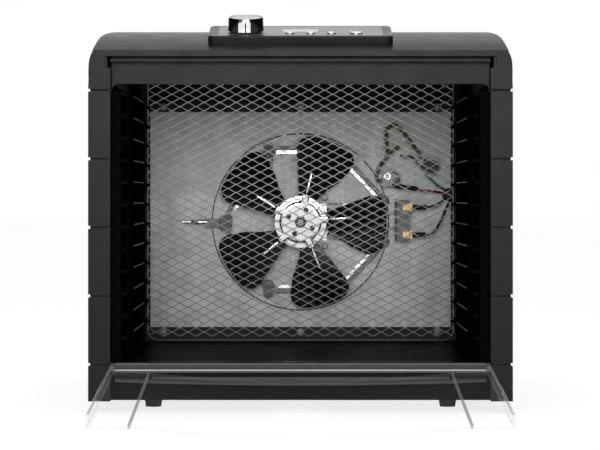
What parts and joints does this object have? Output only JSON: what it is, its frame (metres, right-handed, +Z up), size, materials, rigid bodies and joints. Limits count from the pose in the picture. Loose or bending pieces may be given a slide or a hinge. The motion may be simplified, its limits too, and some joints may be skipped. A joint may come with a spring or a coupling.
{
  "type": "food dehydrator",
  "caption": "Countertop food dehydrator: black cabinet with tray rails, clear drop-down door hanging open, rear fan and heater behind a mesh screen, knob and keys on top.",
  "frame": {"origin": "bottom centre of the box round the whole part with its door hanging open", "axes": "+X to the right seen from the front, +Y from the front to the back, +Z up"},
  "size_m": [0.347, 0.675, 0.3295],
  "materials": {
    "shell_black": "fine moulded grain",
    "header_grey": "satin moulded",
    "chamber_black": "satin moulded",
    "base_black": "fine moulded grain",
    "feet_rubber": "matt",
    "screen_steel": "expanded and plated",
    "frame_dark": "matt black",
    "plate_zinc": "zinc plated, dull",
    "screw_steel": "zinc plated",
    "fan_aluminium": "stamped",
    "shaft_steel": "ground",
    "nut_dark": "blackened",
    "lamination_steel": "laminated",
    "copper_winding": "enamelled wire",
    "bronze": "sintered",
    "heater_wire": "coiled resistance wire",
    "ceramic_grey": "unglazed",
    "mica_board": "mica board",
    "terminal_brass": "stamped",
    "boot_black": "vinyl",
    "bracket_zinc": "zinc plated",
    "fuse_grey": "braided glass sleeve",
    "sleeve_brown": "braided glass sleeve",
    "wire_black": "silicone insulated",
    "wire_blue": "silicone insulated",
    "wire_red": "silicone insulated",
    "connector_black": "moulded",
    "bezel_dark": "satin moulded",
    "faceplate_silver": "satin silver",
    "display_dark": "tinted window",
    "module_green": "display block",
    "board_green": "solder masked",
    "switch_black": "moulded",
    "knob_chrome": "polished sides, spun top",
    "button_grey": "silver painted",
    "door_clear": "clear moulded plastic",
    "rail_black": "smoke black gloss"
  },
  "bodies": {
    "cabinet": {"base_pan": "base_black", "right_side_panel": "shell_black", "left_side_panel": "shell_black", "top_cover": "shell_black", "front_header": "header_grey", "ceiling_liner": "chamber_black", "right_rack_panel": "chamber_black", "left_rack_panel": "chamber_black", "mesh_screen": "screen_steel", "mesh_frame": "frame_dark", "mesh_screws": "screw_steel", "baffle_plate": "plate_zinc", "plate_screws": "screw_steel", "heater_coil": "heater_wire", "heater_supports": "ceramic_grey", "heater_terminal_plate": "mica_board", "heater_terminals": "terminal_brass", "terminal_boots": "boot_black", "thermostat": "bracket_zinc", "fuse_sleeve": "fuse_grey", "brown_wire_sleeve": "sleeve_brown", "black_wires": "wire_black", "blue_wire": "wire_blue", "red_wire": "wire_red", "wire_connector": "connector_black", "wire_grommet": "boot_black", "wire_loom": "wire_black", "motor_stator": "lamination_steel", "motor_coil": "copper_winding", "motor_brackets": "bracket_zinc", "motor_bearings": "bronze", "spacer_tubes": "screw_steel", "motor_screws": "screw_steel", "rear_cover": "shell_black", "rear_cover_screws": "screw_steel", "cord_gland": "boot_black", "rubber_feet": "feet_rubber", "panel_bezel": "bezel_dark", "panel_faceplate": "faceplate_silver", "display_lens": "display_dark", "display_module": "module_green", "control_board": "board_green", "board_screws": "screw_steel", "button_switches": "switch_black", "encoder_body": "switch_black"},
    "fan_rotor": {"motor_rotor": "lamination_steel", "motor_shaft": "shaft_steel", "fan_wheel": "fan_aluminium", "fan_collar": "bracket_zinc", "fan_rivets": "screw_steel", "fan_nut": "nut_dark"},
    "door": {"door_window": "door_clear", "door_hinge_rail": "rail_black"},
    "knob": {"knob_cap": "knob_chrome", "encoder_shaft": "shaft_steel"},
    "left_key": {"left_button": "button_grey"},
    "middle_key": {"middle_button": "button_grey"},
    "right_key": {"right_button": "button_grey"},
    "power_key": {"power_button": "button_grey"}
  },
  "joints": [
    {"name": "door_hinge", "type": "hinge", "parent": "cabinet", "child": "door", "pos_m": [0, -0.09, 0.0365], "axis": [-1, 0, 0], "range_deg": [0, 95]},
    {"name": "fan_spin", "type": "hinge", "parent": "cabinet", "child": "fan_rotor", "pos_m": [0, 0.2525, 0.1525], "axis": [0, -1, 0], "continuous": true},
    {"name": "knob_turn", "type": "hinge", "parent": "cabinet", "child": "knob", "pos_m": [-0.0455, -0.05347, 0.31384], "axis": [0, -0.1977, 0.9803], "continuous": true},
    {"name": "left_press", "type": "slide", "parent": "cabinet", "child": "left_key", "axis": [0, 0.1977, -0.9803], "range_m": [0, 0.001], "stiffness_N_per_m": 400, "springref_m": -0.0005},
    {"name": "middle_press", "type": "slide", "parent": "cabinet", "child": "middle_key", "axis": [0, 0.1977, -0.9803], "range_m": [0, 0.001], "stiffness_N_per_m": 400, "springref_m": -0.0005},
    {"name": "right_press", "type": "slide", "parent": "cabinet", "child": "right_key", "axis": [0, 0.1977, -0.9803], "range_m": [0, 0.001], "stiffness_N_per_m": 400, "springref_m": -0.0005},
    {"name": "power_press", "type": "slide", "parent": "cabinet", "child": "power_key", "axis": [0, 0.1977, -0.9803], "range_m": [0, 0.001], "stiffness_N_per_m": 400, "springref_m": -0.0005}
  ]
}
